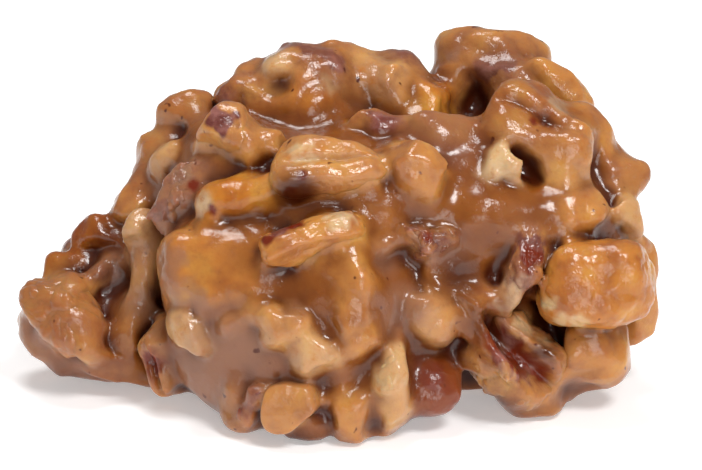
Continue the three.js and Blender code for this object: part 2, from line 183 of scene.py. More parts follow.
# How each kernel piece is glazed and broken. film is the caramel over it in millimetres, and below nought it
# stands bare. meet is how widely the caramel runs up to it. pale, milk, skin and red tint it, from 0 to 1,
# and rough is how uneven it is where it stands bare. corner squares its outline, face is the height of its
# flat side and taper narrows its far end. grooves run along it: place across, width, depth. cuts slice it:
# turn, tilt (degrees), reach. marks tint a spot on its face: tint, place along and across, radius.
plainGlaze = {
    "film": 0.25, "meet": 1.7, "pale": 0.12, "milk": 0.05, "skin": 0.05, "red": 0.0, "rough": 0.6,
    "corner": 2.6, "face": 0.8, "taper": 0.0, "grooves": (), "cuts": None, "marks": (),
}
glaze = {
    "slab": {
        "film": -0.3, "meet": 1.4, "pale": 0.15, "corner": 2.8, "taper": 0.42, "face": 0.7, "rough": 0.8,
        "cuts": ((15, 30, 0.86), (150, 25, 0.9), (265, 30, 0.86)), "grooves": ((0.15, 0.16, 0.35),),
        "marks": (("red", -2.6, -1.6, 0.6), ("pale", -2.4, 0.8, 1.5)),
    },
    "sliver": {
        "film": -0.3, "meet": 1.9, "pale": 0.1, "corner": 3.6, "rough": 1.1,
        "cuts": ((178, 15, 0.96), (8, 20, 0.94), (95, 50, 0.82), (270, 22, 0.76)),
        "marks": (
            ("skin", -2.8, 1.2, 0.8), ("red", -1.2, 1.4, 0.8),
            ("red", -4.0, 0.6, 0.6), ("pale", 2.6, 0.6, 1.5),
        ),
    },
    "skinBits": {
        "film": -0.1, "meet": 1.4, "skin": 0.45, "pale": 0.2, "corner": 3.4, "rough": 3.0,
        "cuts": ((100, 20, 0.6), (220, 10, 0.8), (330, 30, 0.7)), "marks": (("red", -0.6, 0.2, 0.7),),
    },
    "purpleCap": {
        "film": -0.15, "meet": 1.6, "pale": 0.15, "corner": 2.4,
        "cuts": ((35, 0, 0.6), (165, 0, 0.74), (270, 25, 0.72)),
        "marks": (("skin", -0.6, 0.5, 1.5), ("skin", -0.9, 0.2, 1.3)),
    },
    "skinShard": {
        "film": -0.1, "meet": 1.6, "skin": 0.45, "milk": 0.55, "pale": 0.1, "rough": 2.6,
        "marks": (("pale", 2.4, 0.4, 1.2), ("red", 2.2, -1.2, 0.7), ("skin", -1.6, 0.2, 1.2)),
    },
    "honeyKnob": {
        "film": 0.15, "meet": 1.1, "pale": 0.0, "corner": 2.4,
        "cuts": ((190, 20, 0.9), (80, 40, 0.85), (355, 10, 0.88)),
        "marks": (("pale", -3.4, -0.4, 1.0), ("red", -2.6, -1.4, 0.6)),
    },
    "crownKnob": {
        "film": 0.5, "meet": 2.2, "pale": 0.0, "red": 0.1,
        "marks": (
            ("pale", 2.0, 0.4, 1.0), ("skin", -0.6, 3.4, 1.0),
            ("skin", 0.8, 3.1, 1.1), ("skin", 2.2, 2.7, 1.0),
        ),
    },
    "crownTip": {"film": 0.12, "skin": 0.12, "red": 0.15},
    "crownRidge": {"film": 0.0, "pale": 0.24, "milk": 0.0, "corner": 3.6, "face": 0.7, "meet": 1.3},
    "crownBead": {"film": 0.7, "skin": 0.8, "milk": 0.4, "red": 0.2, "meet": 1.0},
    "saddleHump": {"red": 0.2, "milk": 0.5, "film": 0.5, "meet": 2.5},
    "saddleBit": {"film": 0.15, "meet": 1.2},
    "amberHump": {"corner": 3.2, "meet": 2.2},
    # arch's milk mark at its far left is a painted sheen on its skin; its skin marks are its own colour.
    "arch": {
        "film": 0.5, "meet": 2.4, "milk": 0.2, "corner": 3.6,
        "marks": (("skin", -0.5, -1.8, 1.4), ("skin", 1.0, -1.6, 1.2), ("milk", -3.8, -0.6, 1.0)),
    },
    "archLeg": {"film": 0.4, "meet": 2.6},
    "archDark": {"skin": 0.8, "red": 0.4, "milk": 0.3, "film": 0.1, "meet": 1.4},
    # bigCap's pale mark on its upper right is a painted highlight.
    "bigCap": {
        "film": 0.3, "meet": 1.7, "milk": 0.05, "red": 0.38, "corner": 2.8,
        "cuts": ((190, -25, 0.86), (300, 0, 0.84), (75, 30, 0.8)),
        "grooves": ((0.1, 0.3, 0.35),), "marks": (("red", -0.6, -0.5, 0.6), ("pale", 0.8, 2.6, 1.4)),
    },
    "bigCapToe": {"pale": 0.22, "meet": 1.4},
    "creamTooth": {
        "film": -0.3, "meet": 1.7, "pale": 0.65, "skin": 0.0, "corner": 3.2, "face": 0.6,
        "cuts": ((150, 0, 0.75), (275, 0, 0.8), (30, 0, 0.8)),
    },
    "earlobe": {"meet": 1.8, "corner": 2.2, "cuts": (), "red": 0.15, "milk": 0.25},
    "tanPlate": {"film": 0.05, "pale": 0.35, "corner": 3.4, "face": 0.65, "meet": 1.6},
    "amberPlate": {"film": 0.1, "corner": 3.4, "meet": 2.0},
    "bigSlab": {
        "film": -0.25, "meet": 1.3, "pale": 0.05, "corner": 3.2, "rough": 0.9,
        "cuts": ((180, 30, 1.06), (270, 40, 1.08), (90, 45, 1.08), (0, 32, 0.98), (320, 30, 1.06)),
        "marks": (("pale", -3.8, -3.2, 1.0), ("pale", -2.4, -3.4, 1.0), ("pale", -4.8, -1.4, 0.7)),
    },
    "skinTooth": {
        "film": -0.05, "meet": 1.4, "skin": 0.45, "milk": 0.2, "rough": 2.4,
        "marks": (
            ("pale", -2.8, 0.0, 1.5), ("pale", -1.4, 0.2, 1.3),
            ("skin", 2.0, 0.0, 1.6), ("red", 1.4, -0.4, 1.2),
        ),
    },
    "grooved": {
        "film": -0.15, "meet": 1.6, "pale": 0.15, "skin": 0.2, "milk": 0.15, "rough": 2.2,
        "cuts": ((180, 10, 0.9), (10, 15, 0.9), (100, 30, 0.86)), "grooves": ((0.1, 0.34, 0.75),),
        "marks": (
            ("skin", -1.8, 0.4, 1.5), ("skin", 1.4, 0.4, 1.5), ("red", 0.0, 0.4, 1.4),
            ("red", 2.6, 0.4, 1.0), ("red", -3.0, 0.4, 1.2), ("pale", -1.5, 2.8, 1.4),
            ("pale", 1.0, 2.8, 1.2),
        ),
    },
    "bead": {"film": 0.1, "pale": 0.25, "corner": 2.2, "cuts": (), "meet": 1.4},
    "redBead": {
        "film": 0.1, "meet": 2.0, "red": 0.85, "corner": 2.0, "face": 1.0,
        "cuts": (), "marks": (("skin", 1.0, 1.6, 1.3), ("milk", 0.8, 1.4, 1.7)),
    },
    "cheek": {"film": 0.7, "meet": 2.6},
    "knuckleA": {
        "film": 0.2, "meet": 1.4, "pale": 0.2,
        "cuts": ((60, 40, 0.8), (200, 35, 0.85), (300, 30, 0.85)),
    },
    "knuckleB": {
        "film": 0.15, "meet": 1.4, "pale": 0.38,
        "cuts": ((150, 40, 0.8), (20, 35, 0.8), (270, 30, 0.85)),
    },
    "shield": {
        "film": -0.25, "meet": 1.2, "pale": 0.16, "milk": 0.12, "face": 0.6, "rough": 0.35,
        "cuts": ((152, 0, 0.86), (292, 0, 0.82), (352, 10, 0.92), (242, 0, 0.96), (52, 15, 0.94)),
    },
    "frontBlock": {"film": 0.15, "corner": 3.0, "meet": 2.0, "pale": 0.3},
    "frontToe": {"film": 0.15, "meet": 2.0},
    "frontHeel": {"meet": 2.0, "milk": 0.2},
    "buttress": {
        "film": 0.1, "meet": 3.2, "pale": 0.06, "corner": 4.5,
        "cuts": ((180, 25, 1.04), (90, 50, 1.08), (270, 40, 1.06)),
        "marks": (("milk", -4.0, 0.0, 2.0), ("milk", -3.6, -2.6, 2.4), ("milk", -1.0, -3.2, 1.6)),
    },
    "paleKnuckle": {
        "film": 0.05, "meet": 1.3, "pale": 0.42, "corner": 2.4,
        "cuts": ((20, 35, 0.8), (200, 30, 0.82)),
    },
    "leftPost": {"grooves": ((-0.1, 0.25, 0.4),), "meet": 1.8, "marks": (("red", 0.0, -0.2, 1.6),)},
    "column": {"pale": 0.25, "milk": 0.3, "film": 0.3, "meet": 2.2},
    "lobeFace": {
        "film": -0.1, "meet": 1.4, "red": 0.15, "milk": 0.4, "pale": 0.05, "skin": 0.1, "rough": 2.0,
        "cuts": ((260, 10, 0.8), (20, 40, 0.8), (140, 30, 0.85)),
    },
    # lobeTop, lobeKnob and lobeRing: their darker red, skin and milk tints are partly their own colour and
    # partly painted shade on the left side.
    "lobeTop": {"film": 0.3, "meet": 1.4, "red": 0.5, "pale": 0.0, "milk": 0.0},
    "lobeKnob": {"film": 0.3, "red": 0.4, "meet": 1.4, "pale": 0.0},
    "lobeRing": {"milk": 0.6, "skin": 0.5, "meet": 1.4},
    "crownSkin": {"skin": 0.8, "milk": 0.4, "film": 0.2, "meet": 1.2},
    "crownPale": {"pale": 0.6, "film": 0.1, "meet": 1.2},
    "crownStrip": {"skin": 0.5, "red": 0.3, "meet": 1.2},
    "crownGold": {"film": 0.0, "pale": 0.24, "milk": 0.0, "corner": 3.6, "meet": 1.2},
    "saddleSkin": {"skin": 1.0, "red": 0.3, "meet": 0.9, "film": 0.1},
    "crownNub": {"skin": 0.9, "milk": 0.4, "meet": 0.8, "film": 0.1},
    "capBit": {"red": 0.3},
    "toothSide": {"pale": 0.35, "meet": 1.2},
    "toothTip": {"pale": 0.5, "film": 0.05, "meet": 1.0},
    "crumbRed": {"red": 0.15, "pale": 0.3, "film": -0.05, "meet": 0.8, "rough": 2.0},
    "ridgeTwo": {"red": 0.4, "skin": 0.4, "film": 0.05, "meet": 0.8},
    "sideYellow": {"pale": 0.35, "meet": 1.4},
    "blockGold": {"pale": 0.5, "meet": 1.2, "film": -0.05, "rough": 2.2},
    "shieldTwo": {"pale": 0.3, "meet": 1.4},
    "postRing": {"pale": 0.25, "meet": 1.2},
    "nubA": {"film": 0.1, "meet": 1.2},
    "nubB": {"film": 0.1, "meet": 1.2},
    "backLump": {"film": 0.35, "milk": 0.4, "red": 0.1, "pale": 0.0},
    "sideLumpA": {"film": 0.3, "milk": 0.4, "pale": 0.0},
    "sideLumpB": {"film": 0.3, "milk": 0.45, "pale": 0.0},
    "heelA": {"film": -0.05, "meet": 0.8, "skin": 0.6, "red": 0.2, "rough": 2.4},
    "heelB": {"film": -0.05, "meet": 0.8, "skin": 0.5, "red": 0.2, "rough": 2.4},
    "columnTop": {"pale": 0.45, "milk": 0.2, "meet": 1.4},
    "beadWall": {"film": 0.2, "meet": 2.4, "pale": 0.0, "milk": 0.25},
    "slope": {"film": 0.2, "meet": 2.0, "pale": 0.0, "milk": 0.1, "cuts": ()},
    "skinBitB": {"film": -0.05, "meet": 0.9, "skin": 0.5, "pale": 0.2, "rough": 2.6},
    "lobePeak": {"red": 0.1, "meet": 1.2, "milk": 0.2},
    "lobeRidge": {"red": 0.1, "meet": 1.2, "pale": 0.2},
    "lobeSole": {"milk": 0.6, "film": 0.4},
    "lobeToe": {"red": 0.15},
}
tints = ("pale", "milk", "skin", "red")
cubeCorners = [(i, j, k) for i in (0, 1) for j in (0, 1) for k in (0, 1)]
drawKeys = {
    "breakTurn": 1, "breakTilt": 2, "breakReach": 3, "rearPlace": 4,
    "slantTurn": 5, "slantTilt": 6, "slantReach": 7, "rearGlaze": 8,
}


def draw(a, b, c):  # a number from 0 to 1 that depends only on the keys
    wave = math.sin(a * 12.9898 + b * 78.233 + c * 37.719) * 43758.5453
    return wave - math.floor(wave)


# Pieces over the back are drawn by their number: film from thin to thick, and at most these tints.
rearGlaze = {"film": (0.05, 0.45), "pale": 0.6, "skin": 0.75, "milk": 0.5}


def glazeOf(name, seed):
    if not name.startswith("rear"):
        return {**plainGlaze, **glaze.get(name, {})}
    film, pale, skin, milk = (draw(seed, k, drawKeys["rearGlaze"]) for k in (1, 2, 3, 4))
    drawn = {"film": np.interp(film, (0, 1), rearGlaze["film"]), "pale": rearGlaze["pale"] * pale ** 2}
    drawn |= {"skin": rearGlaze["skin"] * skin ** 3, "milk": rearGlaze["milk"] * milk ** 2}
    return {**plainGlaze, **drawn}


# Rows are the unit vectors along a piece's length, along its width and out of its broad face.
def facing(around, up, roll):
    a, u, r = (math.radians(angle) for angle in (around, up, roll))
    out = np.array([math.sin(a) * math.cos(u), -math.cos(a) * math.cos(u), math.sin(u)])
    level = np.array([math.cos(a), math.sin(a), 0.0])
    along = level * math.cos(r) + np.cross(out, level) * math.sin(r)
    return np.stack([along, np.cross(out, along), out])


# Gradient noise: seeded slopes on a lattice of this size, blended between its corners by a quintic ease.
noiseDice = np.random.default_rng(7)
shuffled = noiseDice.permutation(256)
slopes = noiseDice.normal(size=(256, 3))
slopes /= np.linalg.norm(slopes, axis=1)[:, None]


def waviness(points, size, seed=0):
    place = points / size + seed * 17.3  # each seed reads another part of the lattice
    cell = np.floor(place).astype(np.int64)
    part = place - cell
    ease = part ** 3 * (part * (part * 6 - 15) + 10)
    total = np.zeros(len(points))
    for corner in cubeCorners:
        x, y, z = ((cell + corner) & 255).T
        slope = slopes[shuffled[(shuffled[(shuffled[x] + y) & 255] + z) & 255]]
        share = np.prod(np.where(corner, ease, 1 - ease), axis=1)
        total += share * np.sum(slope * (part - corner), axis=1)
    return total


# Rounded bulges with creases between them: the noise without its sign, less its usual mean.
def bulging(points, sizes, seed=0):
    return sum((np.abs(waviness(points, size, seed)) - 0.2) * height for size, height in sizes)


# Places are bent a little by noise in each direction, so that no lump or piece comes out regular.
bend = {"size": 4.2, "reach": 0.75}


def bent(points):
    return points + bend["reach"] * np.stack([waviness(points, bend["size"], 3 + k) for k in range(3)], 1)


# Two levels joined with a fillet of this width: the lower one, less a parabola where they are close.
def softMin(a, b, width):
    near = np.maximum(width - np.abs(a - b), 0) / width
    return np.minimum(a, b) - near * near * width / 4


# Roughly the distance out of an ellipsoid: with its scaled radius k, k (k - 1) over its gradient's length.
def ellipsoidGap(points, half):
    scaled = points / half
    radius = np.linalg.norm(scaled, axis=-1)
    slope = np.linalg.norm(scaled / half, axis=-1) + 1e-9
    return radius * (radius - 1) / slope


# A broken kernel piece, 1 on its skin and growing outwards: a soft-cornered box (powers of the three
# coordinates), a flat broken face on its outward side, lowered along its grooves, and slanting breaks.
kernelForm = {
    "section": 2.4,
    "edges": 14,
    "breakCount": 4,
    "breakSpread": 0.3,
    "breakTilt": 70,
    "breakNearest": 0.66,
    "breakRange": 0.26,
    "slantCount": 3,  # facets that slant across the broad face
    "slantTilt": (35, 62),
    "slantNearest": 0.72,
    "slantRange": 0.2,
}


def breaksOf(seed):
    form, rows = kernelForm, []

    def drawn(j, key):
        return draw(seed, j, drawKeys[key])

    for j in range(form["breakCount"]):
        turn = 360 * (j / form["breakCount"] + drawn(j, "breakTurn") * form["breakSpread"])
        tilt = (drawn(j, "breakTilt") - 0.5) * form["breakTilt"]
        rows.append((turn, tilt, form["breakNearest"] + form["breakRange"] * drawn(j, "breakReach")))
    for j in range(form["slantCount"]):
        turn = 360 * (j / form["slantCount"] + drawn(j, "slantTurn") * form["breakSpread"])
        tilt = np.interp(drawn(j, "slantTilt"), (0, 1), form["slantTilt"])
        rows.append((turn, tilt, form["slantNearest"] + form["slantRange"] * drawn(j, "slantReach")))
    return rows


def kernelGauge(points, half, seed, look):
    form = kernelForm
    x, y, z = np.moveaxis(points / half, -1, 0)
    y = y / (1 - look["taper"] * np.clip(x, -1, 1))
    rim = np.abs(x) ** look["corner"] + np.abs(y) ** look["corner"]
    body = rim ** (form["section"] / look["corner"]) + np.abs(z) ** form["section"]
    face = look["face"]
    for offset, width, depth in look["grooves"]:
        face = face - look["face"] * depth * np.exp(-((y - offset) / width) ** 2)
    total = body ** (form["edges"] / form["section"]) + np.maximum(z / face, 0) ** form["edges"]
    for turn, tilt, reach in breaksOf(seed) if look["cuts"] is None else look["cuts"]:
        t, e = math.radians(turn), math.radians(tilt)
        height = (x * math.cos(t) + y * math.sin(t)) * math.cos(e) + z * math.sin(e)
        total += np.maximum(height / reach, 0) ** form["edges"]
    return total ** (1 / form["edges"])


# Farthest way out of any lump from a place along a direction.
def coreReach(start, direction):
    exits = []
    for name, x, y, z, *half in layout["lumps"]:
        step = direction / half
        begin = (start - (x, y, z)) / half
        a, b, c = step @ step, step @ begin, begin @ begin - 1
        root = b * b - a * c
        exits.append((-b + math.sqrt(root)) / a if root > 0 else 0)
    return max(exits)


# The back is covered by rings of pieces, each drawn by its own number.
def rearKernels():
    rows = []
    first, free, sway = layout["backScatter"]
    for lump, (start, end), rings, lengths, thickness in layout["backCover"]:
        middle = np.array(next(row[1:4] for row in layout["lumps"] if row[0] == lump), float)
        for ringUp, i, count in [(up, i, count) for up, count in rings for i in range(count)]:
            seed = layout["backSeed"] + len(rows)
            shares = [draw(seed, k, drawKeys["rearPlace"]) for k in (1, 2, 3, 4, 5)]
            around = start + (end - start) / count * (i + first + free * shares[0])
            up = ringUp + sway * (shares[1] - 0.5)
            length = np.interp(shares[2], (0, 1), lengths)
            width = length * np.interp(shares[3], (0, 1), layout["backSlimness"])
            roll = 180 * shares[4]
            out = facing(around, up, roll)[2]
            place = middle + out * (coreReach(middle, out) + layout["backRise"] * thickness)
            rows.append([f"rear{len(rows)}", *place, around, up, roll, length, width, thickness, seed])
    return rows


kernels = layout["kernels"] + layout["bits"] + rearKernels()
print(f"layout: {len(layout['lumps'])} lumps, {len(layout['hollows'])} hollows, {len(kernels)} kernels")

# The caramel coat as a level: below nought inside. It is kept on a grid of points in millimetres.
coat = {
    "step": 0.34,
    "low": (-33, -22, -1.6),
    "high": (32, 23, 33),
    "lumpMeet": 3.0,  # width of the fillets between lumps
    "hollowMeet": 1.5,
    "footMeet": 0.8,
    "margin": 4.0,  # how far round a piece its level is worked out
    "bulges": ((3.2, 0.65), (1.5, 0.22)),  # size and height of creased bulges on the kernels
    "waves": ((3.4, 0.25), (1.2, 0.06)),  # and of the unevenness everywhere
    "calm": 0.2,  # share of the bulges left on thick caramel
    "calmFrom": (0.3, 1.6),  # caramel over a piece where the bulges begin to calm, and are calmest
    "skinDepth": 2.0,  # how far from the skin the unevenness and the tints are worked out
    "farCover": 9.0,  # caramel where no piece is near
    "tintReach": 0.5,  # how soon a piece's tint fades away from it
    "markShare": {"pale": 0.6, "milk": 0.7},  # marks of other tints are full
    "markDepth": 2.4,  # how far under or over a piece's face its marks still colour
    "markReach": 1.6,  # farthest a mark's uneven edge goes, in radii
    "markWaves": (0.9, 0.9),  # size and height of that unevenness
    "markFade": (0.53, 1.2),  # radii where a mark begins to fade, and where it ends
    "milkAndLightPatches": [  # milky patches, the last one painted light that lifts a shaded hollow: middle and radius
        [-10.5, -15, 8, 6.5], [-14.5, -13, 4.5, 4.5], [4.5, -14.5, 12, 3.5], [9, -10.5, 16, 2.5],
        [-26, -4, 3, 5], [-19, -5, 9, 3.5], [22, -9, 6, 3], [3.2, -13, 16.5, 2.5],
    ],
    "milkAndLightShare": 0.75,
    "milkAndLightFade": (0.33, 1),  # radii where a patch begins to fade, and where it ends
    "paintedShade": [  # painted shade where the light hardly reaches: middle, radius and how shut in they are
        [-22.5, -3, 11, 3.2, 0.66], [-20.5, -5, 7, 2.4, 0.58], [-27, -4, 3, 3.5, 0.63],
        [-8, -6, 25, 1.6, 0.68], [-15, -1, 24, 2, 0.66], [1, -1, 25, 2.4, 0.55],
        [-5, -11.5, 22.4, 3.2, 0.85], [17.7, -13, 7.3, 3, 0.7], [15, -5.5, 22.5, 2.2, 0.66],
        [-24, 0, 9, 4.5, 0.6], [-19.5, -4, 13, 3, 0.58], [-23, -0.5, 13.5, 3.5, 0.66],
        [-26, -2, 11, 3, 0.66], [-17, -11, 11, 3, 0.58], [13.5, -13.5, 3, 3.4, 0.64],
        [-4.8, -17, 1.2, 2.4, 0.6], [-22.6, -0.5, 14, 3, 0.75], [11.5, 4, 25, 4, 0.7],
        [12, -13, 10.5, 4, 0.67], [10, -12.3, 14.8, 4.4, 0.72], [-23.8, -5.5, 7.3, 2.6, 0.66],
        [-21.5, -6, 4, 3, 0.6], [14, -2.5, 27.4, 2.2, 0.58], [16.2, -3.5, 24.6, 2, 0.6],
        [-22.3, -5.8, 6.3, 2.6, 0.62],
    ],
    "openShade": 0.45,  # how shut in an open place is
    "footShade": 0.17,  # painted shade at the foot: how much more shut in it is there, fading to this height
    "footHeight": 3.5,
    "pool": 0.5,  # more caramel towards the foot
    "poolHeight": 9.0,
    "shadeReach": 2.4,  # how far round a place its crevices are felt
}


def gridAxes():
    return [np.arange(a, b, coat["step"]) for a, b in zip(coat["low"], coat["high"])]


def windowRound(middle, reach, axes):
    return tuple(slice(*np.searchsorted(axis, (m - reach, m + reach))) for axis, m in zip(axes, middle))


def coatLevel():
    axes = gridAxes()
    points = np.stack(np.meshgrid(*axes, indexing="ij"), -1)
    warped = bent(points.reshape(-1, 3)).reshape(points.shape)
    level = np.full(points.shape[:3], np.inf)
    for name, x, y, z, *half in layout["lumps"]:
        gap = ellipsoidGap(warped - (x, y, z), np.array(half))
        level = softMin(level, gap, coat["lumpMeet"])
    cover = np.full(level.shape, coat["farCover"])  # distance to the nearest kernel piece
    tint = np.zeros(level.shape + (1 + len(tints),))
    for name, x, y, z, around, up, roll, length, width, thickness, seed in kernels:
        look = glazeOf(name, seed)
        window = windowRound((x, y, z), max(length, thickness) / 2 + coat["margin"], axes)
        half = np.array([length, width, thickness]) / 2
        gauge = kernelGauge((warped[window] - (x, y, z)) @ facing(around, up, roll).T, half, seed, look)
        slope = np.linalg.norm(np.stack(np.gradient(gauge, coat["step"]), -1), axis=-1)
        gap = (gauge - 1) / np.maximum(slope, 1e-3)
        level[window] = softMin(level[window], gap - look["film"], look["meet"])
        cover[window] = np.minimum(cover[window], gap)
        weight = np.exp(-np.clip(gap, -coat["skinDepth"], coat["farCover"]) / coat["tintReach"])[..., None]
        tint[window] += weight * (1, *(look[key] for key in tints))
    for name, x, y, z, around, up, roll, *size in layout["hollows"]:
        window = windowRound((x, y, z), max(size) / 2 + coat["margin"], axes)
        gap = ellipsoidGap((warped[window] - (x, y, z)) @ facing(around, up, roll).T, np.array(size) / 2)
        level[window] = -softMin(-level[window], gap, coat["hollowMeet"])
    near = np.abs(level) < coat["skinDepth"]
    level[near] += sum(waviness(points[near], size) * height for size, height in coat["waves"])
    calm = np.interp(cover[near], coat["calmFrom"], (1, coat["calm"]))
    level[near] -= bulging(points[near], coat["bulges"]) * calm
    level = -softMin(-level, points[..., 2], coat["footMeet"])
    return axes, level, cover, tint[..., 1:] / np.maximum(tint[..., :1], 1e-6)


# How shut in a place is: the share of the room round it that is caramel, by two running means an axis.
def shutIn(level):
    share = (level < 0).astype(float)
    cells = round(coat["shadeReach"] / coat["step"])
    for axis in (0, 1, 2, 0, 1, 2):
        padding = [(0, 0)] * 3
        padding[axis] = (cells // 2 + 1, cells - cells // 2 - 1)
        run = np.cumsum(np.pad(share, padding, mode="edge"), axis=axis)
        start = np.take(run, np.arange(share.shape[axis]), axis=axis)
        end = np.take(run, np.minimum(np.arange(share.shape[axis]) + cells, run.shape[axis] - 1), axis=axis)
        share = (end - start) / cells
    return share


# Reads a grid between its points: the eight corners round each place, weighed by nearness.
def readGrid(grid, places, axes):
    place = (places - [axis[0] for axis in axes]) / coat["step"]
    cell = np.clip(np.floor(place).astype(int), 0, np.array(grid.shape[:3]) - 2)
    part = place - cell
    total = 0
    for corner in cubeCorners:
        share = np.prod(np.where(corner, part, 1 - part), axis=1)
        value = grid[tuple((cell + corner).T)]
        total = total + (share if value.ndim == 1 else share[:, None]) * value
    return total


# Surface nets: one vertex in each cell that the level crosses, at the mean of the crossings on its edges,
# and a quad round each grid edge whose ends lie on either side.
def netOf(level, axes):
    inside = level < 0
    size = np.array(level.shape) - 1

    def cornerOf(grid, corner):
        return grid[tuple(slice(c, c + n) for c, n in zip(corner, size))]

    count = sum(cornerOf(inside, corner).astype(int) for corner in cubeCorners)
    crossed = (count > 0) & (count < 8)
    number = np.full(crossed.shape, -1)
    number[crossed] = np.arange(crossed.sum())
    total, hits = np.zeros((crossed.sum(), 3)), np.zeros(crossed.sum())
    for start in cubeCorners:
        for axis in range(3):
            if start[axis] == 0:
                end = tuple(1 if k == axis else c for k, c in enumerate(start))
                a, b = cornerOf(level, start)[crossed], cornerOf(level, end)[crossed]
                meets = (a < 0) != (b < 0)
                share = np.where(meets, a / np.where(meets, a - b, 1), 0)
                total += meets[:, None] * (np.array(start) + share[:, None] * np.eye(3)[axis])
                hits += meets
    places = (np.argwhere(crossed) + total / hits[:, None]) * coat["step"] + [axis[0] for axis in axes]
    quads = []
    for axis in range(3):
        u, v = (axis + 1) % 3, (axis + 2) % 3
        here, there = [slice(1, -1)] * 3, [slice(1, -1)] * 3
        here[axis], there[axis] = slice(0, -1), slice(1, None)
        change = inside[tuple(here)].astype(int) - inside[tuple(there)]
        edges = np.argwhere(change != 0) + [0 if k == axis else 1 for k in range(3)]
        stepU, stepV = np.eye(3, dtype=int)[u], np.eye(3, dtype=int)[v]
        ring = [edges - stepU - stepV, edges - stepV, edges, edges - stepU]
        quad = np.stack([number[tuple(cell.T)] for cell in ring], 1)
        leaving = change[change != 0] > 0
        quads.append(np.where(leaving[:, None], quad, quad[:, ::-1]))
    return places, np.concatenate(quads)


# Evens the net out: each vertex moves towards the mean of its neighbours, then along the slope to the level.
def settle(places, quads, level, axes, rounds=2, share=0.6, leastSlope=0.2, mostShift=0.3):
    slope = np.stack(np.gradient(level, coat["step"]), -1)
    ends = np.concatenate([quads, np.roll(quads, 1, axis=1)]).ravel()
    others = np.concatenate([np.roll(quads, 1, axis=1), quads]).ravel()
    count = np.bincount(ends, minlength=len(places))
    for turn in range(rounds):
        mean = [np.bincount(ends, places[others, k], len(places)) / count for k in range(3)]
        places = (1 - share) * places + share * np.stack(mean, 1)
        for step in range(2):
            grade = readGrid(slope, places, axes)
            height = readGrid(level, places, axes)
            shift = height / np.maximum(np.sum(grade * grade, axis=1), leastSlope)
            places = places - np.clip(shift, -mostShift, mostShift)[:, None] * grade
    return places


# Tints spots, fading to an uneven edge.
def paintMarks(places, values):
    size, height = coat["markWaves"]
    for name, x, y, z, around, up, roll, length, width, thickness, seed in kernels:
        look = glazeOf(name, seed)
        for key, along, across, radius in look["marks"]:
            middle = (along, across, look["face"] * thickness / 2) @ facing(around, up, roll) + (x, y, z)
            off = (places - middle) @ facing(around, up, roll).T
            gap = np.hypot(off[:, 0], off[:, 1])
            near = (gap < radius * coat["markReach"]) & (np.abs(off[:, 2]) < coat["markDepth"])
            uneven = gap[near] / radius + height * waviness(places[near], size, 5)
            share = coat["markShare"].get(key, 1) * np.interp(uneven, coat["markFade"], (1, 0))
            values[key][near] = np.maximum(values[key][near], share)


# Puts arrays into a mesh object at the origin, with one float attribute for each named value. A face whose
# last corner repeats its first is a triangle.
def meshPiece(name, places, faces, values, material):
    mesh = bpy.data.meshes.new(name)
    shifted = (places - layout["boxMiddle"]) * mm
    sides = np.where(faces[:, 3] == faces[:, 0], 3, 4)
    corners = faces[np.arange(4)[None, :] < sides[:, None]]
    mesh.vertices.add(len(places))
    mesh.vertices.foreach_set("co", shifted.astype(np.float32).ravel())
    mesh.loops.add(len(corners))
    mesh.loops.foreach_set("vertex_index", corners.astype(np.int32))
    mesh.polygons.add(len(faces))
    mesh.polygons.foreach_set("loop_start", (np.cumsum(sides) - sides).astype(np.int32))
    mesh.polygons.foreach_set("use_smooth", np.ones(len(faces), bool))
    for key, value in values.items():
        mesh.attributes.new(key, "FLOAT", "POINT").data.foreach_set("value", value.astype(np.float32))
    mesh.update()
    mesh.validate()
    mesh.materials.append(material)
    piece = bpy.data.objects.new(name, mesh)
    bpy.context.scene.collection.objects.link(piece)
    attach(piece, "root")
    print(f"{name}: {int((sides - 2).sum())} triangles")
    return piece


# Adds a node, with inputs by name or number: a node or (node, output) is linked, anything else is set.
def put(tree, kind, inputs=None, **settings):
    node = tree.nodes.new(kind)
    for key, value in settings.items():
        setattr(node, key, value)
    for key, value in (inputs or {}).items():
        if isinstance(value, bpy.types.Node):
            value = (value, 0)
        if isinstance(value, tuple) and isinstance(value[0], bpy.types.Node):
            tree.links.new(value[0].outputs[value[1]], node.inputs[key])
        else:
            node.inputs[key].default_value = value
    return node


def newTree(name):
    material = bpy.data.materials.new(name)
    material.use_nodes = True
    material.node_tree.nodes.clear()
    return material, material.node_tree


def blendColours(tree, share, first, second):
    return put(tree, "ShaderNodeMix", {0: share, 6: first, 7: second}, data_type="RGBA"), 2


def easeRange(tree, value, low, high):
    inputs = {"Value": value, "From Min": low, "From Max": high}
    return put(tree, "ShaderNodeMapRange", inputs, interpolation_type="SMOOTHSTEP"), 0


def reckon(tree, how, first, second):
    return put(tree, "ShaderNodeMath", {0: first, 1: second}, operation=how), 0


